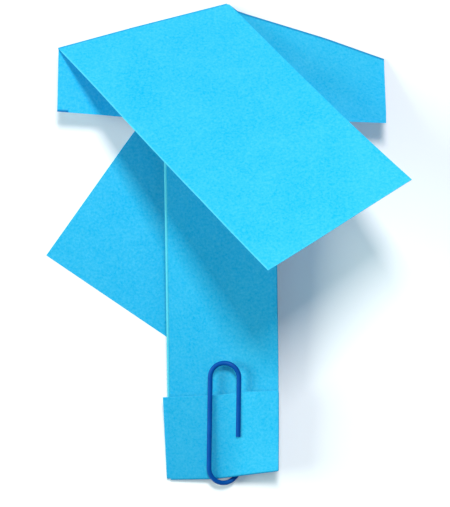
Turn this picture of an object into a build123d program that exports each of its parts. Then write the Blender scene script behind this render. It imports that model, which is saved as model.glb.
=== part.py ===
from build123d import *
import os
from dataclasses import dataclass
from math import asin, atan2, cos, degrees, hypot, radians, sin, tan

# Paper helicopter: one strip of coloured paper, slit, cut and folded, with a wire paper clip as its weight.
# It lies on its back on a surface. The right blade is folded behind and lies flat, and the left blade is
# folded to the front and springs up over the stem. Lengths are in millimetres and angles in degrees.
# Sheet coordinates, before folding: u to the right of the slit, v up from the slit's lower end.

# Sheet
sheet_thickness = 0.16
left_half_width = 38.5
right_half_width = 37.8
front_blade_length = 69.9
rear_blade_length = 72.4
slit_relief = 0.4
left_crease_drop = 13.1
right_crease_drop = 10.65
left_cut_depth = 27.9
right_cut_depth = 28.0
root_depth = 29.4
stem_left = 14.25
stem_right = 11.85
stem_length = 82.0
hem_length = 19.3

# Folds of the two blades
rear_crease_heading = -19.6
rear_blade_opening = 28.5
rear_fold_radius = 0.30
front_blade_opening = 27.3
front_fold_radius = 0.32
front_blade_straight = 24.0
front_blade_curl_radius = 450.0

# Soft bends of the band, each a part of a cone with its point at the slit's end
right_bend_start = 41.0
right_bend_spread = 18.5
right_bend_turn = 26.4
left_bend_start = 27.0
left_bend_spread = 24.0
left_bend_turn = 27.35

# Stem and hem
root_bend_radius = 2.0
layer_gap = 0.05
hem_slant = 1.4
hem_opening = 2.5
hem_fold_inner_radius = 0.03
corner_height = 0.18

# Paper clip
wire_diameter = 1.10
clip_width = 6.68
clip_height = 29.4
free_leg_length = 13.7
inner_loop_width = 4.7
inner_loop_drop = 3.6
inner_leg_length = 17.0
clip_across = 13.45
clip_above_fold = 2.25
clip_turn = -1.8
clip_gap = 0.04
end_bend_depth = 3.45
wire_end_rounding = 0.15

half_sheet = sheet_thickness / 2
layer_pitch = sheet_thickness + layer_gap
stem_back = 2 * layer_pitch + half_sheet
hem_front = stem_back + 2 * (half_sheet + hem_fold_inner_radius)
cone_length = 1.6 * root_depth
up = Vector(0, 0, 1)


@dataclass
class Facet:
    """A flat piece of the sheet's middle surface: where (0, 0) lies, and where u and v point."""

    origin: Vector
    u: Vector
    v: Vector

    @property
    def normal(self):
        return self.u.cross(self.v)

    @property
    def place(self):
        return Plane(self.origin, x_dir=self.u, z_dir=self.normal)

    def direction(self, u, v):
        return self.u * u + self.v * v

    def at(self, u, v):
        return self.origin + self.direction(u, v)

    def turned(self, axis, angle):
        """The facet turned about an axis in space."""
        arm = self.origin - axis.position
        origin = axis.position + arm.rotate(axis, angle)
        return Facet(origin, self.u.rotate(axis, angle), self.v.rotate(axis, angle))

    def spun(self, angle):
        """The sheet coordinates turned within the facet, about (0, 0)."""
        return self.turned(Axis(self.origin, self.normal), angle)

    def plate(self, *outline, reach=half_sheet):
        """The flat piece of paper with this outline in sheet coordinates."""
        face = make_face(Polyline(*outline, close=True))
        return extrude(self.place * face, amount=reach, both=True)


def bend(facet, start, end, axis, angle):
    """The paper of a fold: its straight section from start to end, turned about the fold's axis."""
    rise = facet.normal * half_sheet
    first = facet.at(*start)
    last = facet.at(*end)
    section = make_face(Polyline(first + rise, last + rise, last - rise, first - rise, close=True))
    if angle < 0:
        axis = axis.reverse()
    return revolve(section, axis=axis, revolution_arc=abs(angle))


def ruling(angle, length):
    """The sheet point at this length from the slit's end, at an angle from straight down the sheet."""
    return length * sin(radians(angle)), -length * cos(radians(angle))


def along(end, length):
    """The sheet point at this length from the slit's end, on the line to another sheet point."""
    share = length / hypot(*end)
    return end[0] * share, end[1] * share


def cone_axis(facet, angle, spread, turn, side):
    """The axis of a soft bend that starts at a ruling: in front of the sheet for side 1, behind for -1."""
    lean = asin(spread / turn)
    line = facet.direction(*ruling(angle, 1))
    return Axis(facet.origin, line * cos(lean) + facet.normal * (side * sin(lean)))


# Corners on the sheet
left_corner = (-left_half_width, -left_crease_drop)
right_corner = (right_half_width, -right_crease_drop)
left_crease_start = along(left_corner, slit_relief)
right_crease_start = along(right_corner, slit_relief)
left_root = (-stem_left, -root_depth)
right_root = (stem_right, -root_depth)

# Right half of the band: raised from the surface about the rear crease, on the rear fold
crease_line = Vector(1, 0, 0).rotate(Axis.Z, rear_crease_heading)
sheet_heading = rear_crease_heading + degrees(atan2(right_crease_drop, right_half_width))
level_u = Vector(1, 0, 0).rotate(Axis.Z, sheet_heading)
level = Facet(Vector(0, 0, 0), level_u, up.cross(level_u))
right_band = level.turned(Axis(level.origin, crease_line), -rear_blade_opening)
right_band.origin = up * (half_sheet + rear_fold_radius) + up * right_band.normal.Z * rear_fold_radius
rear_axis = Axis(right_band.origin - right_band.normal * rear_fold_radius, crease_line)
rear_turn = rear_blade_opening - 180
rear_facet = right_band.turned(rear_axis, rear_turn)

# Middle and left parts of the band, past the two soft bends
right_cone = cone_axis(right_band, right_bend_start, right_bend_spread, right_bend_turn, -1)
middle = right_band.turned(right_cone, right_bend_turn).spun(right_bend_spread)
left_cone = cone_axis(middle, -left_bend_start, left_bend_spread, left_bend_turn, 1)
left_band = middle.turned(left_cone, -left_bend_turn).spun(left_bend_spread)

# Front blade, past the left crease
left_crease_line = left_band.direction(*along(left_corner, 1))
front_axis = Axis(left_band.origin + left_band.normal * front_fold_radius, left_crease_line)
front_turn = front_blade_opening - 180
front_facet = left_band.turned(front_axis, front_turn)

# Stem: it turns down at its root until the hem's left corner reaches the surface
root_axis = Axis(middle.at(0, -root_depth) - middle.normal * root_bend_radius, middle.u)
stem_end = -root_depth - stem_length


def corner_clearance(turn):
    """How far the back of the stem's left fold is above its resting height at the hem, for a turn at the root."""
    facet = middle.turned(root_axis, turn)
    return (facet.at(-stem_left, stem_end) - facet.normal * (layer_pitch + half_sheet)).Z - corner_height


least_turn = 0.0
most_turn = 60.0
for halving in range(40):
    root_turn = (least_turn + most_turn) / 2
    if corner_clearance(root_turn) > 0:
        least_turn = root_turn
    else:
        most_turn = root_turn
stem = middle.turned(root_axis, root_turn)


def side_plate(facet, crease_start, corner, angle):
    """The flat side part of the band, between the crease, the sheet's edge and the ruling at this angle."""
    edge_point = (corner[0], -corner[0] / tan(radians(angle)))
    return facet.plate(crease_start, corner, edge_point, ruling(angle, slit_relief))


def make_band():
    """The full-width band below the creases, with its two soft bends, cut in from both sides to the stem."""
    right_end = right_bend_start - right_bend_spread
    left_end = -left_bend_start - left_bend_spread
    right_plate = side_plate(right_band, right_crease_start, right_corner, right_bend_start)
    left_plate = side_plate(left_band, left_crease_start, left_corner, left_end)
    middle_plate = middle.plate(
        ruling(right_end, slit_relief),
        ruling(right_end, root_depth / cos(radians(right_end))),
        ruling(-left_bend_start, root_depth / cos(radians(left_bend_start))),
        ruling(-left_bend_start, slit_relief),
    )
    band = right_plate + middle_plate + left_plate
    rulings = [(right_band, right_bend_start, right_cone, right_bend_turn)]
    rulings.append((middle, -left_bend_start, left_cone, -left_bend_turn))
    for facet, angle, axis, turn in rulings:
        band += bend(facet, ruling(angle, slit_relief), ruling(angle, cone_length), axis, turn)
    down = middle.v * -cone_length
    cuts = [(middle.at(*left_root), left_band.at(-left_half_width, -left_cut_depth))]
    cuts.append((middle.at(*right_root), right_band.at(right_half_width, -right_cut_depth)))
    for inner, outer in cuts:
        beyond = outer + (outer - inner)
        corners = [(p.X, p.Y, -cone_length) for p in (inner, beyond, beyond + down, inner + down)]
        band -= extrude(make_face(Polyline(*corners, close=True)), amount=2 * cone_length, dir=(0, 0, 1))
    return band


def make_rear_blade():
    """The right blade, flat on the surface, with its fold at the rear crease."""
    blade = rear_facet.plate(
        right_crease_start,
        right_corner,
        (right_half_width, rear_blade_length),
        (0, rear_blade_length),
        (0, slit_relief),
    )
    return blade + bend(right_band, right_crease_start, right_corner, rear_axis, rear_turn)


def make_front_blade():
    """The left blade, flat near its crease and then gently curled upwards, with its fold."""
    crease = front_facet.direction(*along(left_corner, 1))
    section = Plane(front_facet.origin, x_dir=crease.cross(front_facet.normal), z_dir=crease)
    reach = degrees((front_blade_length + left_half_width) / front_blade_curl_radius)
    centre = (front_blade_straight, front_blade_curl_radius)
    curl = []
    for radius in (front_blade_curl_radius - half_sheet, front_blade_curl_radius + half_sheet):
        curl.append(CenterArc(centre, radius, -90, reach))
    foot = -front_fold_radius
    near = [Line((foot, half_sheet), curl[0] @ 0), curl[0], Line(curl[0] @ 1, curl[1] @ 1)]
    far = [curl[1], Line(curl[1] @ 0, (foot, -half_sheet)), Line((foot, -half_sheet), (foot, half_sheet))]
    width = hypot(left_half_width, front_blade_length)
    strip = extrude(section * make_face(near + far), amount=width, both=True)
    outline = front_facet.plate(
        left_crease_start,
        left_corner,
        (-left_half_width, front_blade_length),
        (0, front_blade_length),
        (0, slit_relief),
        reach=front_blade_length,
    )
    return (strip & outline) + bend(left_band, left_crease_start, left_corner, front_axis, front_turn)


def stem_section():
    """The stem's cross-section: the middle third, with both side thirds folded flat behind it."""
    inner_fold = layer_pitch / 2
    outer_fold = layer_pitch
    inner_end = left_half_width - 2 * stem_left - 3 * inner_fold
    outer_end = stem_right - (right_half_width - stem_right - 3 * outer_fold)
    edges = []
    for side in (half_sheet, -half_sheet):
        left_arc = CenterArc((-stem_left, -inner_fold), inner_fold + side, 90, 180)
        right_arc = CenterArc((stem_right, -outer_fold), outer_fold + side, -90, 180)
        edges += [left_arc, right_arc]
        edges.append(Line((-stem_left, side), (stem_right, side)))
        edges.append(Line(left_arc @ 1, (inner_end, -layer_pitch - side)))
        edges.append(Line(right_arc @ 0, (outer_end, -2 * layer_pitch - side)))
    edges.append(Line((inner_end, -layer_pitch + half_sheet), (inner_end, -layer_pitch - half_sheet)))
    edges.append(Line((outer_end, -2 * layer_pitch + half_sheet), (outer_end, -2 * layer_pitch - half_sheet)))
    return make_face(edges)


def make_stem():
    """The bend at the root, the stem of three layers, and its end turned up to the front as a hem."""
    root = bend(middle, left_root, right_root, root_axis, root_turn)
    start = Plane(stem.at(0, -root_depth), x_dir=stem.u, z_dir=stem.v * -1)
    blank = extrude(start * stem_section(), amount=stem_length + hem_length)
    fold_line = stem.direction(cos(radians(hem_slant)), sin(radians(hem_slant)))
    fold_centre = stem.at((stem_right - stem_left) / 2, stem_end)
    fold_plane = Plane(fold_centre, x_dir=fold_line, z_dir=fold_line.cross(stem.normal))
    fold_axis = Axis(fold_centre + stem.normal * (half_sheet + hem_fold_inner_radius), fold_line * -1)
    upper = split(blank, bisect_by=fold_plane, keep=Keep.BOTTOM)
    lower = split(blank, bisect_by=fold_plane, keep=Keep.TOP)
    section = upper.faces().sort_by(Axis(fold_centre, stem.v * -1))[-1]
    fold = revolve(section, axis=fold_axis, revolution_arc=180 - hem_opening)
    return root + upper + fold + lower.rotate(fold_axis, 180 - hem_opening)


def make_clip():
    """The coated wire: outer loop in front of the paper, the end bend round the hem's fold, inner loop behind."""
    wire_radius = wire_diameter / 2
    outer_radius = clip_width / 2
    inner_radius = inner_loop_width / 2
    inner_left = outer_radius - inner_loop_width
    middle_height = (hem_front - stem_back) / 2
    end_radius = hypot(outer_radius, end_bend_depth / 2)
    leg = clip_height - wire_diameter - outer_radius - end_radius
    inner_leg = leg + outer_radius - inner_loop_drop - inner_radius
    hem_edge = hem_length - clip_above_fold
    front = middle_height + end_bend_depth / 2
    back = middle_height - end_bend_depth / 2
    front_touch = hem_front + hem_length * sin(radians(hem_opening)) + clip_gap + wire_radius
    front_rise = (front_touch - front) / hem_edge
    back_rise = (-stem_back - clip_gap - wire_radius - back) / (inner_leg + inner_radius)
    base = stem.at(clip_across - stem_left, stem_end + clip_above_fold)
    facet = Facet(base, stem.u, stem.v).spun(clip_turn)

    def at(across, along_clip, height):
        return facet.at(across, along_clip) + facet.normal * height

    def before(across, along_clip):
        return at(across, along_clip, front + front_rise * along_clip)

    def behind(across, along_clip):
        return at(across, along_clip, back + back_rise * along_clip)

    loops = [
        Line(before(outer_radius, leg - free_leg_length), before(outer_radius, leg)),
        ThreePointArc(before(outer_radius, leg), before(0, leg + outer_radius), before(-outer_radius, leg)),
        Line(before(-outer_radius, leg), before(-outer_radius, 0)),
        ThreePointArc(before(-outer_radius, 0), at(0, -end_radius, middle_height), behind(outer_radius, 0)),
        Line(behind(outer_radius, 0), behind(outer_radius, inner_leg)),
        ThreePointArc(
            behind(outer_radius, inner_leg),
            behind(outer_radius - inner_radius, inner_leg + inner_radius),
            behind(inner_left, inner_leg),
        ),
        Line(behind(inner_left, inner_leg), behind(inner_left, inner_leg - inner_leg_length)),
    ]
    path = Wire(loops)
    start = Plane(path @ 0, z_dir=path % 0)
    wire = sweep(start * Circle(wire_radius), path=path)
    rims = wire.edges().filter_by(GeomType.CIRCLE)
    ends = rims.filter_by(lambda rim: min(abs(rim.arc_center - path @ 0), abs(rim.arc_center - path @ 1)) < 0.01)
    return fillet(ends, wire_end_rounding)


paper = make_band() + make_rear_blade() + make_front_blade() + make_stem()
clip = make_clip()
footprint = Compound([*paper.solids(), *clip.solids()]).bounding_box()
centred = Pos(-footprint.center().X, -footprint.center().Y, -footprint.min.Z)

os.makedirs("parts", exist_ok=True)
for name, piece in {"folded_paper": paper, "paper_clip": clip}.items():
    placed = centred * piece
    print(name, "solids", len(placed.solids()), "volume", round(placed.volume, 2), "valid", placed.is_valid)
    export_step(placed, "parts/" + name + ".step")
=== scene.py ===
"""Paper helicopter at rest: folded blue paper with a coated wire clip on its hem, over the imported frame."""

import logging
import math
from dataclasses import dataclass
from enum import Enum
from typing import Any

import bmesh
import bpy
from mathutils import Euler, Matrix, Vector
from mathutils.bvhtree import BVHTree

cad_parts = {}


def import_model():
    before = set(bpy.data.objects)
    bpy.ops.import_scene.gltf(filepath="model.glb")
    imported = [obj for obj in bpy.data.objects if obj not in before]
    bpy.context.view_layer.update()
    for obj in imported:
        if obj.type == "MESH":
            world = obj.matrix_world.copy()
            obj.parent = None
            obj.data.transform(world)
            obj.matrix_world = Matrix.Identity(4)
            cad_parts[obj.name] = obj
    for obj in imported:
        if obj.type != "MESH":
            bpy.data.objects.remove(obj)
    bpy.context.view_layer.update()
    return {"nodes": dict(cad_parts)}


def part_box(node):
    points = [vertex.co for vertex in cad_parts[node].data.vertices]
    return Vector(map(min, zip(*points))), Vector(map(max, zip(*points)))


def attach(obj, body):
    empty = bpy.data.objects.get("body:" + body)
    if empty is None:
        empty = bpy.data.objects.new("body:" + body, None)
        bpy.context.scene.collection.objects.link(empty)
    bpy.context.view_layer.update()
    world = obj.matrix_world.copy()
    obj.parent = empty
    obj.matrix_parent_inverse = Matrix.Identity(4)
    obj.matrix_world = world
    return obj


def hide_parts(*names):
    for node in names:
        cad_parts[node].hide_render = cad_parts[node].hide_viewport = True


MM = 0.001
BODY = "root"
FOLDED_PLACE = "folded_place"
# A distance in metres that no part of the sheet reaches.
PAST_SHEET = 1.0

log = logging.getLogger("paper_helicopter")
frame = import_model()


class Slot(Enum):
    """The record's material slots."""

    PAPER = "blue_paper"
    WIRE = "coated_wire"


class Node(Enum):
    """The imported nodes."""

    PAPER = "folded_paper"
    CLIP = "paper_clip"


Colour = tuple[float, float, float]


def unit(value: float) -> float:
    """Hold a value between 0 and 1."""
    return min(max(value, 0.0), 1.0)


def from_screen(red: int, green: int, blue: int) -> Colour:
    """Turn a screen colour into the linear values that sockets take.

    Args:
        red: Red from 0 to 255.
        green: Green from 0 to 255.
        blue: Blue from 0 to 255.

    Returns:
        The three linear values.
    """

    def linear(value: int) -> float:
        """Undo the screen's curve for one channel."""
        share = value / 255
        return share / 12.92 if share <= 0.04045 else ((share + 0.055) / 1.055) ** 2.4

    return linear(red), linear(green), linear(blue)


class Signal:
    """A node socket that takes part in Python arithmetic."""

    def __init__(self, tree: "Tree", socket: bpy.types.NodeSocket) -> None:
        """Keep the tree and the output socket.

        Args:
            tree: The builder that adds further nodes.
            socket: The output that carries this value.
        """
        self.tree = tree
        self.socket = socket

    def _math(self, operation: str, first: Any, second: Any = None) -> "Signal":
        """Add one Math node.

        Args:
            operation: The Math node's operation.
            first: The first value or signal.
            second: The second value or signal, where the operation has one.

        Returns:
            The node's output.
        """
        values = {0: first} if second is None else {0: first, 1: second}
        return self.tree.add("ShaderNodeMath", {"operation": operation}, values)

    def __add__(self, other: Any) -> "Signal":
        """Add a value or signal."""
        return self._math("ADD", self, other)

    __radd__ = __add__

    def __sub__(self, other: Any) -> "Signal":
        """Take a value or signal away."""
        return self._math("SUBTRACT", self, other)

    def __rsub__(self, other: Any) -> "Signal":
        """Take this signal away from a value."""
        return self._math("SUBTRACT", other, self)

    def __mul__(self, other: Any) -> "Signal":
        """Multiply by a value or signal."""
        return self._math("MULTIPLY", self, other)

    __rmul__ = __mul__

    def __truediv__(self, other: Any) -> "Signal":
        """Divide by a value or signal."""
        return self._math("DIVIDE", self, other)

    def __pow__(self, other: Any) -> "Signal":
        """Raise to a power."""
        return self._math("POWER", self, other)

    def at_most(self, other: Any) -> "Signal":
        """Return the smaller of this and another value."""
        return self._math("MINIMUM", self, other)

    def at_least(self, other: Any) -> "Signal":
        """Return the larger of this and another value."""
        return self._math("MAXIMUM", self, other)

    def unit(self) -> "Signal":
        """Hold this signal between 0 and 1."""
        return self.at_least(0.0).at_most(1.0)

    def out(self, name: str) -> "Signal":
        """Return another output of the same node."""
        return Signal(self.tree, self.socket.node.outputs[name])


class Tree:
    """A builder for shader and geometry node trees."""

    def __init__(self, tree: bpy.types.NodeTree) -> None:
        """Keep the tree and empty it.

        Args:
            tree: The node tree to build in.
        """
        self.tree = tree
        self.tree.nodes.clear()

    def add(
        self, kind: str, settings: dict[str, Any] | None = None, sockets: dict[Any, Any] | None = None
    ) -> Signal:
        """Add a node, set it up and connect it.

        Args:
            kind: The node's type name.
            settings: Properties of the node, such as its operation, set first.
            sockets: Values or signals by input name or number.

        Returns:
            The node's first enabled output, or a signal on an input for a node without outputs.
        """
        node = self.tree.nodes.new(kind)
        for name, value in (settings or {}).items():
            setattr(node, name, value)
        for name, value in (sockets or {}).items():
            if isinstance(value, Signal):
                self.tree.links.new(value.socket, node.inputs[name])
            else:
                node.inputs[name].default_value = value
        outputs = [socket for socket in node.outputs if socket.enabled]
        return Signal(self, outputs[0] if outputs else node.inputs[0])

    def mix(self, share: Any, first: Any, second: Any) -> Signal:
        """Mix two colours.

        Args:
            share: How much of the second colour shows, from 0 to 1.
            first: The first colour or signal.
            second: The second colour or signal.

        Returns:
            The mixed colour.
        """
        values = {
            "Factor": share,
            6: first if isinstance(first, Signal) else (*first, 1.0),
            7: second if isinstance(second, Signal) else (*second, 1.0),
        }
        return Signal(self, self.add("ShaderNodeMix", {"data_type": "RGBA"}, values).socket.node.outputs[2])

    def place(self) -> Signal:
        """Return the object's own coordinates, in metres."""
        return self.add("ShaderNodeTexCoord").out("Object")

    def vector(self, operation: str, first: Any, second: Any = None) -> Signal:
        """Add one Vector Math node.

        Args:
            operation: The node's operation.
            first: The first vector or signal.
            second: The second vector or signal, where the operation has one.

        Returns:
            The node's first output in use.
        """
        values = {0: first} if second is None else {0: first, 1: second}
        return self.add("ShaderNodeVectorMath", {"operation": operation}, values)

    def along(self, place: Signal, origin: Colour, axis: Colour) -> Signal:
        """Measure how far a place is along an axis.

        Args:
            place: The place, in metres.
            origin: Where the axis starts, in millimetres.
            axis: The axis, of length 1.

        Returns:
            The distance, in metres.
        """
        arm = self.vector("SUBTRACT", place, tuple(Vector(origin) * MM))
        return self.vector("DOT_PRODUCT", arm, axis).out("Value")

    def between(self, value: Signal, low: float, high: float) -> Signal:
        """Return 1 where a value is between two limits, and 0 elsewhere.

        Args:
            value: The value.
            low: The lower limit.
            high: The upper limit.

        Returns:
            The mask.
        """
        above = self.add("ShaderNodeMath", {"operation": "GREATER_THAN"}, {0: value, 1: low})
        below = self.add("ShaderNodeMath", {"operation": "LESS_THAN"}, {0: value, 1: high})
        return above * below

    def noise(self, pattern: "Pattern", place: Signal | None = None) -> Signal:
        """Add a noise pattern.

        Args:
            pattern: Its size and its finer layers.
            place: Where it is read; the object's coordinates if left out.

        Returns:
            A value around 0.5.
        """
        sockets = {
            "Vector": place or self.place(),
            "Scale": 1 / pattern.size,
            "Detail": pattern.detail,
            "Roughness": pattern.roughness,
        }
        return self.add("ShaderNodeTexNoise", {"noise_dimensions": "3D"}, sockets)


@dataclass(frozen=True)
class Pattern:
    """A noise pattern: its patches' size in metres, and how many and how strong its finer layers are."""

    size: float
    detail: float = 2.0
    roughness: float = 0.5


@dataclass(frozen=True)
class Spread:
    """The contrast and the offset with which a pattern mixes two colours."""

    contrast: float
    offset: float

    def share(self, pattern: Signal) -> Signal:
        """Return the share, from 0 to 1."""
        return (pattern * self.contrast + self.offset).unit()


def new_material(name: str) -> tuple[bpy.types.Material, Tree]:
    """Make an empty node material.

    Args:
        name: The material's name.

    Returns:
        The material and the builder for its nodes.
    """
    material = bpy.data.materials.new(name)
    material.use_nodes = True
    return material, Tree(material.node_tree)


@dataclass
class StemPlane:
    """The stem's own axes in the frame: across it, along it towards the blades, and out of its front."""

    hem_middle: Vector
    across: Vector
    along: Vector
    front: Vector

    def at(self, across: float, along: float) -> Vector:
        """Return the point at these distances from the middle of the hem's fold.

        Args:
            across: Distance to the right, in metres.
            along: Distance towards the blades, in metres.

        Returns:
            The point in the frame.
        """
        return self.hem_middle + self.across * across + self.along * along


STEM = StemPlane(
    Vector((1.263, -54.366, 2.287)) * MM,
    Vector((0.99179, 0.00456, 0.12779)),
    Vector((-0.01603, 0.99592, 0.08885)),
    Vector((-0.12686, -0.09017, 0.98781)),
)


@dataclass(frozen=True)
class Leaf:
    """A blade of the sheet in millimetres, by its own axes, and how strong the painted highlight is along its
    outer edge and its tip.
    """

    origin: Colour
    width_axis: Colour
    length_axis: Colour
    face_axis: Colour
    width: tuple[float, float]
    length: tuple[float, float]
    depth: tuple[float, float]
    side_highlight: float = 0.7
    tip_highlight: float = 0.3

    def rim(self, tree: Tree, place: Signal, reach: float) -> Signal:
        """Mark the painted highlight along the blade's outer edge and its tip.

        Args:
            tree: The material's builder.
            place: The place on the folded sheet, before handling bent it, in metres.
            reach: The strip's width, in metres.

        Returns:
            1 on the cut edge, falling to 0 at the strip's inner side.
        """
        across = tree.along(place, self.origin, self.width_axis)
        down = tree.along(place, self.origin, self.length_axis)
        out = tree.along(place, self.origin, self.face_axis)
        outer = (1 - (across - self.width[0] * MM) / reach).unit()
        tip = (1 - (self.length[1] * MM - down) / reach).unit()
        strip = (outer * self.side_highlight).at_least(tip * self.tip_highlight)
        near = tree.between(out, self.depth[0] * MM, self.depth[1] * MM)
        return strip * near * tree.between(down, self.length[0] * MM, PAST_SHEET)


FRONT_BLADE = Leaf(
    origin=(0.953, 56.341, 1.219),
    width_axis=(0.81327, 0.51356, -0.27358),
    length_axis=(0.57474, -0.63553, 0.51554),
    face_axis=(0.09089, -0.57651, -0.81202),
    width=(-38.5, 0.0),
    length=(-12.0, 69.9),
    depth=(-6.0, 0.4),
)


@dataclass(frozen=True)
class FoldLine:
    """A pressed fold, a straight line in millimetres, with a painted strip along it: highlight on the stem's
    folds, shade on the others.
    """

    start: Colour
    end: Colour
    reach: float
    strength: float
    fading: float = 0.6
    overrun: float = 0.5 * MM

    def mask(self, tree: Tree, place: Signal) -> Signal:
        """Mark the strip along the fold.

        Args:
            tree: The material's builder.
            place: The place on the folded sheet, before handling bent it, in metres.

        Returns:
            The strength on the fold, falling to 0 at its reach.
        """
        span = (Vector(self.end) - Vector(self.start)) * MM
        direction = tuple(span.normalized())
        arm = tree.vector("SUBTRACT", place, tuple(Vector(self.start) * MM))
        away = tree.vector("LENGTH", tree.vector("CROSS_PRODUCT", arm, direction)).out("Value")
        down = tree.vector("DOT_PRODUCT", arm, direction).out("Value")
        strip = (1 - away / self.reach).at_least(0.0) ** self.fading * self.strength
        return strip * tree.between(down, -self.overrun, span.length + self.overrun)


# Painted highlights: pale lines along the stem's two folds.
STEM_LEFT_FOLD = FoldLine((-14.30, 27.234, 7.60), (-12.99, -54.431, 0.31), 0.66 * MM, 1.0)
STEM_RIGHT_FOLD = FoldLine((11.86, 27.353, 10.95), (13.17, -54.312, 3.65), 0.34 * MM, 0.2)
# Painted shade: thin dark lines along the rear and the front crease, at the left band's lower corner and along
# the hem's fold.
SHADED_FOLDS = (
    FoldLine((1.5, 55.92, 0.55), (38.5, 42.75, 0.55), 0.46 * MM, 0.8),
    FoldLine((0.95, 56.30, 0.9), (-37.9, 44.90, 4.7), 0.58 * MM, 0.6),
    FoldLine((-38.4, 30.10, 6.85), (-36.2, 30.02, 6.8), 0.55 * MM, 1.0),
    FoldLine((-13.02, -54.75, 0.45), (13.02, -54.65, 3.8), 0.75 * MM, 0.7),
)


@dataclass(frozen=True)
class PaperFinish:
    """Matt coloured paper, dyed through, with a fine felt grain. Light passes through it a little.

    The stem's folds and the front blade's outer edge carry painted highlights, other folds and the hem's left
    carry painted shade, and the left fold's crest is rounded by crest_depth.
    """

    name: str = "blue paper"
    pale: Colour = (0.098, 0.705, 0.945)
    deep: Colour = (0.004, 0.550, 0.860)
    glow: Colour = (0.000, 0.560, 0.900)
    # Colour of the painted highlights along the stem's folds and the front blade's cut edge.
    highlight_colour: Colour = from_screen(130, 252, 255)
    # Colour of the painted shade along folds and on the hem's left.
    painted_shade: Colour = from_screen(18, 108, 170)
    translucence: float = 0.30
    grain: Pattern = Pattern(0.60 * MM, 3.0, 0.65)
    clouds: Pattern = Pattern(9 * MM)
    grain_spread: Spread = Spread(1.9, -0.45)
    cloud_contrast: float = 0.5
    roughness: float = 0.80
    roughness_range: float = 0.16
    gloss: float = 0.04
    relief: float = 0.012 * MM
    relief_strength: float = 0.55
    crest_depth: float = 0.60 * MM
    # Strength of the painted highlight, and how much the grain breaks it up.
    highlight_level: float = 0.7
    highlight_grain: float = 0.6
    rim_reach: float = 0.36 * MM
    # Size, place and strength of the painted shade on the hem's left side.
    hem_shade_length: float = 60 * MM
    hem_shade_middle: float = 1.5 * MM
    hem_shade_fade: float = 5 * MM
    hem_shade_strength: float = 0.24

    def build(self) -> bpy.types.Material:
        """Build the material.

        Returns:
            The finished material.
        """
        material, tree = new_material(self.name)
        place = tree.add("ShaderNodeAttribute", {"attribute_name": FOLDED_PLACE}).out("Vector")
        grain = tree.noise(self.grain, place)
        clouds = (tree.noise(self.clouds, place) - 0.5) * self.cloud_contrast
        depth = (grain * self.grain_spread.contrast + self.grain_spread.offset + clouds).unit()
        body = tree.mix(depth, self.deep, self.pale)
        # Painted highlight along the front blade's cut edge and the stem's folds; the left fold's crest also
        # gets a rounding bump.
        highlight = FRONT_BLADE.rim(tree, place, self.rim_reach)
        crest = STEM_LEFT_FOLD.mask(tree, place)
        highlight = highlight.at_least(crest).at_least(STEM_RIGHT_FOLD.mask(tree, place))
        rubbed_and_highlit = (highlight * (self.highlight_level + grain * self.highlight_grain)).at_most(1.0)
        # Painted shade on the hem's left side.
        shade_share = self._hem_shade(tree, place)
        # Thin painted shade lines along folds.
        for fold in SHADED_FOLDS:
            shade_share = shade_share.at_least(fold.mask(tree, place))
        colour = tree.mix(shade_share, tree.mix(rubbed_and_highlit, body, self.highlight_colour), self.painted_shade)
        rounded = {"Strength": 1.0, "Distance": self.crest_depth, "Height": crest * -1.0}
        relief = {
            "Strength": self.relief_strength,
            "Distance": self.relief,
            "Height": grain,
            "Normal": tree.add("ShaderNodeBump", {}, rounded),
        }
        bump = tree.add("ShaderNodeBump", {}, relief)
        surface = tree.add(
            "ShaderNodeBsdfPrincipled",
            {},
            {
                "Base Color": colour,
                "Roughness": self.roughness + (grain - 0.5) * self.roughness_range,
                "Normal": bump,
                "Specular IOR Level": self.gloss,
            },
        )
        through = tree.add("ShaderNodeBsdfTranslucent", {}, {"Color": (*self.glow, 1.0), "Normal": bump})
        shader = tree.add("ShaderNodeMixShader", {}, {0: self.translucence, 1: surface, 2: through})
        tree.add("ShaderNodeOutputMaterial", {}, {"Surface": shader})
        return material

    def _hem_shade(self, tree: Tree, place: Signal) -> Signal:
        """Mark the painted shade on the stem's lower left part, where the hem's left side lies in shade.

        Args:
            tree: The material's builder.
            place: The place on the folded sheet, before handling bent it, in metres.

        Returns:
            The strength at the hem's left, falling to 0 up the stem and to the right.
        """
        origin = tuple(STEM.hem_middle / MM)
        along = tree.along(place, origin, tuple(STEM.along))
        across = tree.along(place, origin, tuple(STEM.across))
        low = (1 - along / self.hem_shade_length).unit()
        left = (0.5 - (across - self.hem_shade_middle) / self.hem_shade_fade).unit()
        return low * left * self.hem_shade_strength


@dataclass(frozen=True)
class CutEdgeFinish:
    """The cut edge of the sheet, where the torn fibres are paler than the face."""

    name: str = "cut paper edge"
    colour: Colour = from_screen(84, 216, 244)
    dark: Colour = from_screen(44, 188, 236)
    fibres: Pattern = Pattern(0.35 * MM, 3.0, 0.7)
    fibre_spread: Spread = Spread(2.2, -0.5)
    relief: float = 0.02 * MM
    relief_strength: float = 0.6
    roughness: float = 0.9
    gloss: float = 0.2

    def build(self) -> bpy.types.Material:
        """Build the material.

        Returns:
            The finished material.
        """
        material, tree = new_material(self.name)
        fibres = tree.noise(self.fibres)
        relief = {"Strength": self.relief_strength, "Distance": self.relief, "Height": fibres}
        surface = tree.add(
            "ShaderNodeBsdfPrincipled",
            {},
            {
                "Base Color": tree.mix(self.fibre_spread.share(fibres), self.dark, self.colour),
                "Roughness": self.roughness,
                "Normal": tree.add("ShaderNodeBump", {}, relief),
                "Specular IOR Level": self.gloss,
            },
        )
        tree.add("ShaderNodeOutputMaterial", {}, {"Surface": surface})
        return material


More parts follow.
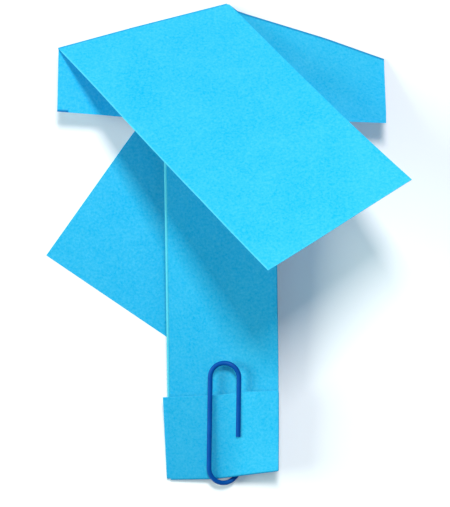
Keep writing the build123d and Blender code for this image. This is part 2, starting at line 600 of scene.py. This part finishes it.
@dataclass(frozen=True)
class CoatedWireFinish:
    """Steel wire in a smooth dark blue coating, with faint drawing marks and rubbed spots."""

    name: str = "blue coated wire"
    colour: Colour = from_screen(0, 80, 158)
    deep: Colour = from_screen(0, 68, 144)
    rubbed_and_highlit: Colour = from_screen(4, 92, 172)
    patches: Pattern = Pattern(3.5 * MM)
    patch_spread: Spread = Spread(2.0, -0.5)
    specks: Pattern = Pattern(0.30 * MM, 2.0, 0.6)
    speck_level: float = 0.62
    speck_contrast: float = 6.0
    speck_strength: float = 0.5
    relief: float = 0.01 * MM
    relief_strength: float = 0.25
    roughness: float = 0.45
    roughness_range: float = 0.2
    gloss: float = 0.10
    coat: float = 0.04
    coat_roughness: float = 0.35

    def build(self) -> bpy.types.Material:
        """Build the material.

        Returns:
            The finished material.
        """
        material, tree = new_material(self.name)
        patches = tree.noise(self.patches)
        specks = tree.noise(self.specks)
        body = tree.mix(self.patch_spread.share(patches), self.deep, self.colour)
        rub = ((specks - self.speck_level) * self.speck_contrast).unit() * self.speck_strength
        relief = {"Strength": self.relief_strength, "Distance": self.relief, "Height": specks}
        surface = tree.add(
            "ShaderNodeBsdfPrincipled",
            {},
            {
                "Base Color": tree.mix(rub, body, self.rubbed_and_highlit),
                "Roughness": self.roughness + (patches - 0.5) * self.roughness_range,
                "Normal": tree.add("ShaderNodeBump", {}, relief),
                "Specular IOR Level": self.gloss,
                "Coat Weight": self.coat,
                "Coat Roughness": self.coat_roughness,
            },
        )
        tree.add("ShaderNodeOutputMaterial", {}, {"Surface": surface})
        return material


@dataclass(frozen=True)
class FloorFinish:
    """The pale floor, which reads as white to the camera and keeps the shadows."""

    name: str = "pale floor"
    colour: Colour = (0.91, 0.86, 0.84)
    lift: Colour = (0.145, 0.116, 0.118)

    def build(self) -> bpy.types.Material:
        """Build the material.

        Returns:
            The finished material.
        """
        material, tree = new_material(self.name)
        rays = tree.add("ShaderNodeLightPath")
        seen = rays.out("Is Camera Ray")
        for kind in ("Is Glossy Ray", "Is Transmission Ray"):
            seen = seen.at_least(rays.out(kind))
        surface = tree.add("ShaderNodeBsdfDiffuse", {}, {"Color": (*self.colour, 1.0)})
        extra = tree.add("ShaderNodeEmission", {}, {"Color": (*self.lift, 1.0), "Strength": seen})
        total = tree.add("ShaderNodeAddShader", {}, {0: surface, 1: extra})
        tree.add("ShaderNodeOutputMaterial", {}, {"Surface": total})
        return material


def finish_piece(piece: bpy.types.Object, node: Node) -> None:
    """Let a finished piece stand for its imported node.

    Args:
        piece: The finished object, with its place in its mesh.
        node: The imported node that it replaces.
    """
    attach(piece, BODY)
    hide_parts(node.value)


@dataclass(frozen=True)
class Side:
    """A soft limit: all of a push counts on one side of a plane and none of it on the other."""

    origin: Colour
    normal: Colour
    softness: float

    def share(self, point: Vector) -> float:
        """Work out how much of a push a point takes.

        Args:
            point: The point, in millimetres.

        Returns:
            1 well behind the plane, 0 in front of it.
        """
        depth = (Vector(self.origin) - point).dot(Vector(self.normal))
        return unit(depth / self.softness)


@dataclass(frozen=True)
class Nudge:
    """A spot where handling has pushed the paper out of true. The push fades evenly with distance."""

    place: Colour
    reach: float
    push: Colour
    sides: tuple[Side, ...] = ()

    def apply(self, point: Vector) -> Vector:
        """Work out how far a point is pushed.

        Args:
            point: The point, in millimetres.

        Returns:
            The push, in millimetres.
        """
        share = max(1 - (point - Vector(self.place)).length / self.reach, 0.0)
        for side in self.sides:
            share *= side.share(point)
        return Vector(self.push) * share


ON_FLOOR = Side((0, 0, 0.8), (0, 0, 1), 0.2)
BEHIND_RIGHT_BAND = Side((1.0, 56.3, 1.0), (0.160, 0.4495, 0.8788), 0.1)
PAST_SLIT = Side((0.9, 56.1, 0), (-0.942, 0.3355, 0), 2.4)
NUDGES = (
    Nudge((0.97, 56.10, 0.7), 40.0, (0.50, -1.05, 0.0)),
    Nudge((3.2, 55.3, 0.7), 22.0, (0.0, -1.0, 0.0), (BEHIND_RIGHT_BAND, PAST_SLIT)),
    Nudge((38.2, 44.0, 0.6), 36.0, (-0.40, -0.58, 0.0), (BEHIND_RIGHT_BAND,)),
    Nudge((38.6, 29.5, 7.0), 14.0, (0.30, 0.0, 0.0), (BEHIND_RIGHT_BAND,)),
    Nudge((-37.9, 44.7, 4.7), 18.0, (-0.02, -0.32, 0.0)),
    Nudge((-39.0, 30.0, 7.0), 16.0, (0.30, -0.05, 0.0)),
    Nudge((9.4, -5.9, 50.3), 26.0, (-0.12, -0.33, 0.0)),
    Nudge((40.9, 13.1, 38.8), 26.0, (0.10, 0.42, 0.0)),
    Nudge((-10.1, -25.0, 0.0), 37.0, (0.30, 0.74, 0.0), (ON_FLOOR,)),
)


@dataclass(frozen=True)
class BladeBow:
    """The soft bow of the front blade's outer edge, in millimetres, highest at a third of its length."""

    leaf: Leaf
    height: float = 3.2
    peak: float = 4 / 27
    outward_power: float = 1.2
    crease_slope: float = 13.1 / 38.5
    seen_from: Colour = (-4.65, -1.95, 615.8)

    def apply(self, point: Vector) -> Vector:
        """Work out how far a point of the blade is lifted.

        Args:
            point: The point, in millimetres.

        Returns:
            The lift, in millimetres.
        """
        arm = point - Vector(self.leaf.origin)
        across = arm.dot(Vector(self.leaf.width_axis))
        down = arm.dot(Vector(self.leaf.length_axis))
        out = arm.dot(Vector(self.leaf.face_axis))
        foot = across * self.crease_slope
        share = (down - foot) / (self.leaf.length[1] - foot)
        low, high = self.leaf.depth
        if not 0 < share < 1 or not low < out < high:
            return Vector((0, 0, 0))
        outer, inner = self.leaf.width
        outward = unit((inner - across) / (inner - outer)) ** self.outward_power
        lift = self.height * share * (1 - share) ** 2 / self.peak * outward
        towards = Vector(self.seen_from) - point
        return towards * (lift / towards.z)


@dataclass(frozen=True)
class StemShape:
    """The stem and its hem as pressed by hand, in millimetres: a narrower left side and a kinked hem."""

    left_edge: float = -14.45
    right_edge: float = 11.85
    below_hem: float = 4.0
    root: float = 82.0
    root_depth: float = 1.6
    root_opening: float = 0.45
    root_fade: float = 24.0
    trim: float = 0.52
    trim_start: float = -4.0
    trim_at_fold: float = 0.33
    trim_at_hem: float = 0.79
    trim_at_root: float = 0.38
    trim_fade: float = 14.0
    kink: float = -2.8
    past_corner: float = 1.05
    corner_lift: float = 2.7
    corner_power: float = 1.1
    fade: float = 30.0
    fade_power: float = 1.5
    roll: float = 2.0
    roll_length: float = 9.0
    flap_length: float = 19.3
    flap_left_shift: float = 0.11
    flap_right_shift: float = 1.25
    flap_rise: float = 0.60
    flap_step_start: float = -1.5
    flap_step_width: float = 5.0
    flap_lift: float = 0.9
    flap_lift_slope: float = 1.6
    flap_level: float = 0.11

    def apply(self, point: Vector) -> Vector:
        """Work out how far a point of the stem or the hem is moved.

        Args:
            point: The point, in millimetres.

        Returns:
            The move, in millimetres.
        """
        arm = point - STEM.hem_middle / MM
        across, along, front = arm.dot(STEM.across), arm.dot(STEM.along), arm.dot(STEM.front)
        depth = self.root_depth + self.root_opening * max(along - self.root, 0.0)
        if along < -self.below_hem or abs(front) > depth:
            return Vector((0, 0, 0))
        move = STEM.across * self._narrowing(across, along)
        if along < self.fade:
            move += self._curl(across, along, front)
        return move

    def _narrowing(self, across: float, along: float) -> float:
        """Work out how far a point of the left side moves inwards."""
        if across > self.trim_start:
            return 0.0
        side = (self.trim_start - across) / (self.trim_start - self.left_edge)
        if side > 1:
            side = max(1 - (self.left_edge - across) / self.trim_fade, 0.0)
        height = max(along, 0.0)
        hem = min(height / self.flap_length, 1.0)
        stem = min(max(height - self.flap_length, 0.0) / (self.root - self.flap_length), 1.0)
        level = self.trim_at_fold + self.trim_at_hem * hem + self.trim_at_root * stem
        return self.trim * side * level * max(1 - max(along - self.root, 0.0) / self.root_fade, 0.0)

    def _curl(self, across: float, along: float, front: float) -> Vector:
        """Work out how the hem's end is kinked, rolled and shifted."""
        side = min(max((across - self.kink) / (self.right_edge - self.kink), 0.0), self.past_corner)
        height = max(along, 0.0)
        lift = self.corner_lift * side**self.corner_power * (1 - height / self.fade) ** self.fade_power
        pull = self.roll * side * max(1 - height / self.roll_length, 0.0)
        shift = 0.0
        if front > self.flap_level and along > 0:
            share = min(along / self.flap_length, 1.0)
            width = (across - self.left_edge) / (self.right_edge - self.left_edge)
            step = unit((across - self.flap_step_start) / self.flap_step_width)
            lift += self.flap_lift * min(side * self.flap_lift_slope, 1.0) * share
            pull = pull * (1 - share) + self.flap_rise * step * share
            shift = (self.flap_left_shift * (1 - width) + self.flap_right_shift * width) * share
        return STEM.front * lift + STEM.along * pull + STEM.across * shift


@dataclass
class FoldedPaper:
    """The strip of paper: its folded solid, merged, cut into a fine grid and pushed slightly out of true."""

    name: str = "folded_sheet"
    thickness: float = 0.16 * MM
    flat: tuple[float, float] = (0.0763, 0.2050)
    flat_area: float = 0.015537
    grid: float = 2.0 * MM
    merge_distance: float = 0.002 * MM
    cut_distance: float = 0.0001 * MM
    ray_start: float = 0.004 * MM
    layers_reached: float = 2.2
    smooth_angle: float = 25.0

    def build(self) -> bpy.types.Object:
        """Build the paper.

        Returns:
            The finished object.
        """
        mesh = bmesh.new()
        mesh.from_mesh(frame["nodes"][Node.PAPER.value].data)
        bmesh.ops.remove_doubles(mesh, verts=mesh.verts, dist=self.merge_distance)
        self._mark_cut_edges(mesh)
        self._cut_grid(mesh)
        folded = mesh.verts.layers.float_vector.new(FOLDED_PLACE)
        shapes = (*NUDGES, BladeBow(FRONT_BLADE), StemShape())
        for vertex in mesh.verts:
            vertex[folded] = vertex.co
            point = vertex.co / MM
            vertex.co += sum((shape.apply(point) for shape in shapes), Vector()) * MM
        data = bpy.data.meshes.new(self.name)
        mesh.to_mesh(data)
        mesh.free()
        piece = bpy.data.objects.new(self.name, data)
        bpy.context.scene.collection.objects.link(piece)
        data.materials.append(PaperFinish().build())
        data.materials.append(CutEdgeFinish().build())
        data.polygons.foreach_set("use_smooth", [True] * len(data.polygons))
        data.set_sharp_from_angle(angle=math.radians(self.smooth_angle))
        finish_piece(piece, Node.PAPER)
        return piece

    def _mark_cut_edges(self, mesh: bmesh.types.BMesh) -> None:
        """Give the faces of the sheet's cut edges the second material.

        A ray into a face of the sheet leaves it after one thickness, and a ray into a cut edge runs along it.

        Args:
            mesh: The merged paper.
        """
        tree = BVHTree.FromBMesh(mesh)
        for face in mesh.faces:
            centre = face.calc_center_median()
            _, _, _, reach = tree.ray_cast(centre - face.normal * self.ray_start, -face.normal)
            face.material_index = int(reach is None or reach > self.layers_reached * self.thickness)

    def _cut_grid(self, mesh: bmesh.types.BMesh) -> None:
        """Cut the long faces along a square grid, so that soft pushes can bend them.

        Args:
            mesh: The merged paper.
        """
        low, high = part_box(Node.PAPER.value)
        for axis in (0, 1):
            step = low[axis] + self.grid
            normal = Vector((1, 0, 0)) if axis == 0 else Vector((0, 1, 0))
            while step < high[axis]:
                bmesh.ops.bisect_plane(
                    mesh,
                    geom=mesh.verts[:] + mesh.edges[:] + mesh.faces[:],
                    dist=self.cut_distance,
                    plane_co=normal * step,
                    plane_no=normal,
                )
                step += self.grid


@dataclass
class PaperClip:
    """The bent wire: an outer loop in front, the end bend round the hem's fold and an inner loop behind."""

    name: str = "wire_clip"
    wire_diameter: float = 1.10 * MM
    width: float = 6.68 * MM
    height: float = 29.4 * MM
    free_leg: float = 13.7 * MM
    inner_width: float = 4.7 * MM
    inner_drop: float = 3.6 * MM
    inner_leg: float = 17.0 * MM
    bend_depth: float = 3.45 * MM
    above_fold: float = 2.25 * MM
    across: float = -0.80 * MM
    lean: float = -1.8
    hem_front: float = 0.72 * MM
    hem_rise: float = 0.842 * MM
    hem_length: float = 19.3 * MM
    stem_back: float = 0.50 * MM
    gap: float = 0.04 * MM
    end_rounding: float = 0.15 * MM
    points_per_turn: int = 28
    points_around: int = 24
    smooth_angle: float = 50.0

    def _route(self) -> list[Vector]:
        """Work out the wire's centre line.

        Returns:
            The points, from the free end in front to the end behind.
        """
        wire = self.wire_diameter / 2
        outer = self.width / 2
        inner = self.inner_width / 2
        inner_left = outer - self.inner_width
        middle = (self.hem_front - self.stem_back) / 2
        end = math.hypot(outer, self.bend_depth / 2)
        leg = self.height - self.wire_diameter - outer - end
        inner_leg = leg + outer - self.inner_drop - inner
        front = middle + self.bend_depth / 2
        back = middle - self.bend_depth / 2
        front_touch = self.hem_front + self.hem_rise + self.gap + wire
        front_slope = (front_touch - front) / (self.hem_length - self.above_fold)
        back_slope = (-self.stem_back - self.gap - wire - back) / (inner_leg + inner)
        turn = Matrix.Rotation(math.radians(self.lean), 3, STEM.front)
        base = STEM.at(self.across, self.above_fold)

        def at(across: float, along: float, height: float) -> Vector:
            """Return a point of the clip's own plane, in the frame."""
            return base + turn @ (STEM.across * across + STEM.along * along) + STEM.front * height

        def before(across: float, along: float) -> Vector:
            """Return a point on the front loop."""
            return at(across, along, front + front_slope * along)

        def behind(across: float, along: float) -> Vector:
            """Return a point on the loop behind."""
            return at(across, along, back + back_slope * along)

        route = [before(outer, leg - self.free_leg)]
        route += self._half_turn(before(outer, leg), before(0, leg + outer), before(-outer, leg))
        route += self._half_turn(before(-outer, 0), at(0, -end, middle), behind(outer, 0))
        top = behind(outer - inner, inner_leg + inner)
        route += self._half_turn(behind(outer, inner_leg), top, behind(inner_left, inner_leg))
        route.append(behind(inner_left, inner_leg - self.inner_leg))
        return route

    def _half_turn(self, start: Vector, middle: Vector, end: Vector) -> list[Vector]:
        """Work out a half circle.

        Args:
            start: Its first point.
            middle: The point half way round.
            end: Its last point.

        Returns:
            Points along it, ends included.
        """
        centre = (start + end) / 2
        steps = range(self.points_per_turn + 1)
        angles = [math.pi * step / self.points_per_turn for step in steps]
        return [centre + (start - centre) * math.cos(a) + (middle - centre) * math.sin(a) for a in angles]

    def _tree(self) -> bpy.types.NodeTree:
        """Build the Geometry Nodes tree that turns the centre line into round wire.

        Returns:
            The tree, with the wire's radius, its end rounding and its roundness as inputs.
        """
        group = bpy.data.node_groups.new("round wire", "GeometryNodeTree")
        inputs = {
            "Geometry": "NodeSocketGeometry",
            "Wire radius": "NodeSocketFloat",
            "End rounding": "NodeSocketFloat",
            "Points around": "NodeSocketInt",
            "Material": "NodeSocketMaterial",
        }
        for name, kind in inputs.items():
            group.interface.new_socket(name, in_out="INPUT", socket_type=kind)
        group.interface.new_socket("Geometry", in_out="OUTPUT", socket_type="NodeSocketGeometry")
        tree = Tree(group)
        given = tree.add("NodeGroupInput")
        rounding = given.out("End rounding")
        length = tree.add("GeometryNodeCurveLength", {}, {"Curve": given})
        fine = tree.add(
            "GeometryNodeResampleCurve",
            {"mode": "LENGTH"},
            {"Curve": given, "Length": rounding},
        )
        spot = tree.add("GeometryNodeSplineParameter").out("Length")
        nearest_end = spot.at_most(length - spot)
        short = (1 - nearest_end / rounding).at_least(0.0)
        fillet = (1 - (1 - short * short) ** 0.5) * rounding
        radius = (given.out("Wire radius") - fillet) / given.out("Wire radius")
        shaped = tree.add("GeometryNodeSetCurveRadius", {}, {"Curve": fine, "Radius": radius})
        ring = tree.add(
            "GeometryNodeCurvePrimitiveCircle",
            {"mode": "RADIUS"},
            {"Resolution": given.out("Points around"), "Radius": given.out("Wire radius")},
        )
        tube = tree.add(
            "GeometryNodeCurveToMesh", {}, {"Curve": shaped, "Profile Curve": ring, "Fill Caps": True}
        )
        real = tree.add("GeometryNodeRealizeInstances", {}, {"Geometry": tube})
        smooth = tree.add("GeometryNodeSetShadeSmooth", {}, {0: real})
        dressed = tree.add(
            "GeometryNodeSetMaterial", {}, {"Geometry": smooth, "Material": given.out("Material")}
        )
        tree.add("NodeGroupOutput", {}, {"Geometry": dressed})
        return group

    def build(self) -> bpy.types.Object:
        """Build the clip.

        Returns:
            The finished object.
        """
        route = self._route()
        curve = bpy.data.curves.new("clip route", "CURVE")
        curve.dimensions = "3D"
        spline = curve.splines.new("POLY")
        spline.points.add(len(route) - 1)
        for point, place in zip(spline.points, route):
            point.co = (*place, 1.0)
        carrier = bpy.data.objects.new("clip route", curve)
        bpy.context.scene.collection.objects.link(carrier)
        group = self._tree()
        modifier = carrier.modifiers.new("wire", "NODES")
        modifier.node_group = group
        values = {
            "Wire radius": self.wire_diameter / 2,
            "End rounding": self.end_rounding,
            "Points around": self.points_around,
            "Material": CoatedWireFinish().build(),
        }
        for item in group.interface.items_tree:
            if item.in_out == "INPUT" and item.name in values:
                modifier[item.identifier] = values[item.name]
        bpy.context.view_layer.update()
        evaluated = carrier.evaluated_get(bpy.context.evaluated_depsgraph_get())
        data = bpy.data.meshes.new_from_object(evaluated)
        data.name = self.name
        data.set_sharp_from_angle(angle=math.radians(self.smooth_angle))
        bpy.data.objects.remove(carrier)
        piece = bpy.data.objects.new(self.name, data)
        bpy.context.scene.collection.objects.link(piece)
        finish_piece(piece, Node.CLIP)
        return piece


@dataclass
class Lamp:
    """One soft lamp: where its light comes from, how strong it is and how wide it looks."""

    name: str
    towards: Vector
    strength: float
    spread: float
    colour: Colour

    def build(self) -> bpy.types.Object:
        """Build the lamp.

        Returns:
            The lamp's object.
        """
        data = bpy.data.lights.new(self.name, "SUN")
        data.energy = self.strength
        data.angle = math.radians(self.spread)
        data.color = self.colour
        lamp = bpy.data.objects.new(self.name, data)
        lamp.rotation_euler = self.towards.to_track_quat("Z", "Y").to_euler()
        lamp.location = self.towards.normalized()
        bpy.context.scene.collection.objects.link(lamp)
        return lamp


@dataclass
class Window:
    """A long soft light: where it is, how strong it is at the object, its long side and its spreads."""

    name: str
    towards: Vector
    distance: float
    strength: float
    long_side: Vector
    spreads: tuple[float, float]

    def build(self) -> bpy.types.Object:
        """Build the window.

        Returns:
            The window's object.
        """
        data = bpy.data.lights.new(self.name, "AREA")
        data.shape = "RECTANGLE"
        width, depth = (2 * self.distance * math.tan(math.radians(spread / 2)) for spread in self.spreads)
        data.size, data.size_y = width, depth
        data.energy = self.strength * 4 * self.distance**2
        out = self.towards.normalized()
        across = (self.long_side - out * self.long_side.dot(out)).normalized()
        turn = Matrix((across, out.cross(across), out)).transposed()
        window = bpy.data.objects.new(self.name, data)
        window.rotation_euler = turn.to_euler()
        window.location = out * self.distance
        bpy.context.scene.collection.objects.link(window)
        return window


WINDOW = Window(
    name="window",
    towards=Vector((0.035, 0.495, 1.0)),
    distance=1.2,
    strength=1.78,
    long_side=Vector((-0.56, 0.83, 0.0)),
    spreads=(17.0, 8.5),
)
LEFT_LAMP = Lamp(
    name="left lamp",
    towards=Vector((-1.0, 0.10, 0.57)),
    strength=2.20,
    spread=32.0,
    colour=(0.80, 0.95, 0.88),
)


@dataclass
class Studio:
    """The floor, the even light all round, the window above and the lamp on the left."""

    floor_width: float = 3.0
    floor_drop: float = 0.03 * MM
    world_level: float = 0.38
    sky: Colour = (0.32, 0.76, 1.0)

    def build(self) -> None:
        """Build the floor, the world and the lamps."""
        half = self.floor_width / 2
        corners = [(-half, -half), (half, -half), (half, half), (-half, half)]
        data = bpy.data.meshes.new("floor")
        data.from_pydata([(x, y, -self.floor_drop) for x, y in corners], [], [(0, 1, 2, 3)])
        data.materials.append(FloorFinish().build())
        floor = bpy.data.objects.new("floor", data)
        bpy.context.scene.collection.objects.link(floor)
        world = bpy.data.worlds.new("studio")
        world.use_nodes = True
        bpy.context.scene.world = world
        tree = Tree(world.node_tree)
        rays = tree.add("ShaderNodeLightPath")
        seen = rays.out("Is Camera Ray")
        strength = seen * (1.0 - self.world_level) + self.world_level
        light = tree.add("ShaderNodeBackground", {}, {"Color": (*self.sky, 1.0), "Strength": strength})
        tree.add("ShaderNodeOutputWorld", {}, {"Surface": light})
        lights = [light.build().name for light in (WINDOW, LEFT_LAMP)]
        log.info("studio: %s, %s, %s", floor.name, world.name, ", ".join(lights))


@dataclass
class PhotoCamera:
    """The camera straight above the helicopter."""

    frame_width: int = 450
    frame_height: int = 507
    focal_pixels: float = 2646.0
    sensor: float = 36.0
    place: tuple[float, float, float] = (-4.654, -1.945, 615.8)
    tilt_across: float = -0.07
    tilt_along: float = -0.49
    clip: tuple[float, float] = (0.01, 10.0)

    def build(self) -> bpy.types.Object:
        """Build the camera and make it the scene's camera.

        Returns:
            The camera's object.
        """
        data = bpy.data.cameras.new("camera")
        data.sensor_width = self.sensor
        data.lens = self.focal_pixels * self.sensor / max(self.frame_width, self.frame_height)
        data.clip_start, data.clip_end = self.clip
        camera = bpy.data.objects.new("camera", data)
        camera.location = Vector(self.place) * MM
        camera.rotation_euler = Euler((math.radians(self.tilt_across), math.radians(self.tilt_along), 0.0))
        bpy.context.scene.collection.objects.link(camera)
        bpy.context.scene.camera = camera
        return camera


def main() -> None:
    """Build the pieces and the studio."""
    logging.basicConfig(level=logging.INFO, format="%(name)s: %(message)s")
    bpy.context.scene.view_settings.view_transform = "Standard"
    camera = PhotoCamera().build()
    log.info("%s: %.0f mm lens", camera.name, camera.data.lens)
    Studio().build()
    for piece in (FoldedPaper().build(), PaperClip().build()):
        log.info("%s: %d vertices, %d faces", piece.name, len(piece.data.vertices), len(piece.data.polygons))


if __name__ == "__main__":
    main()
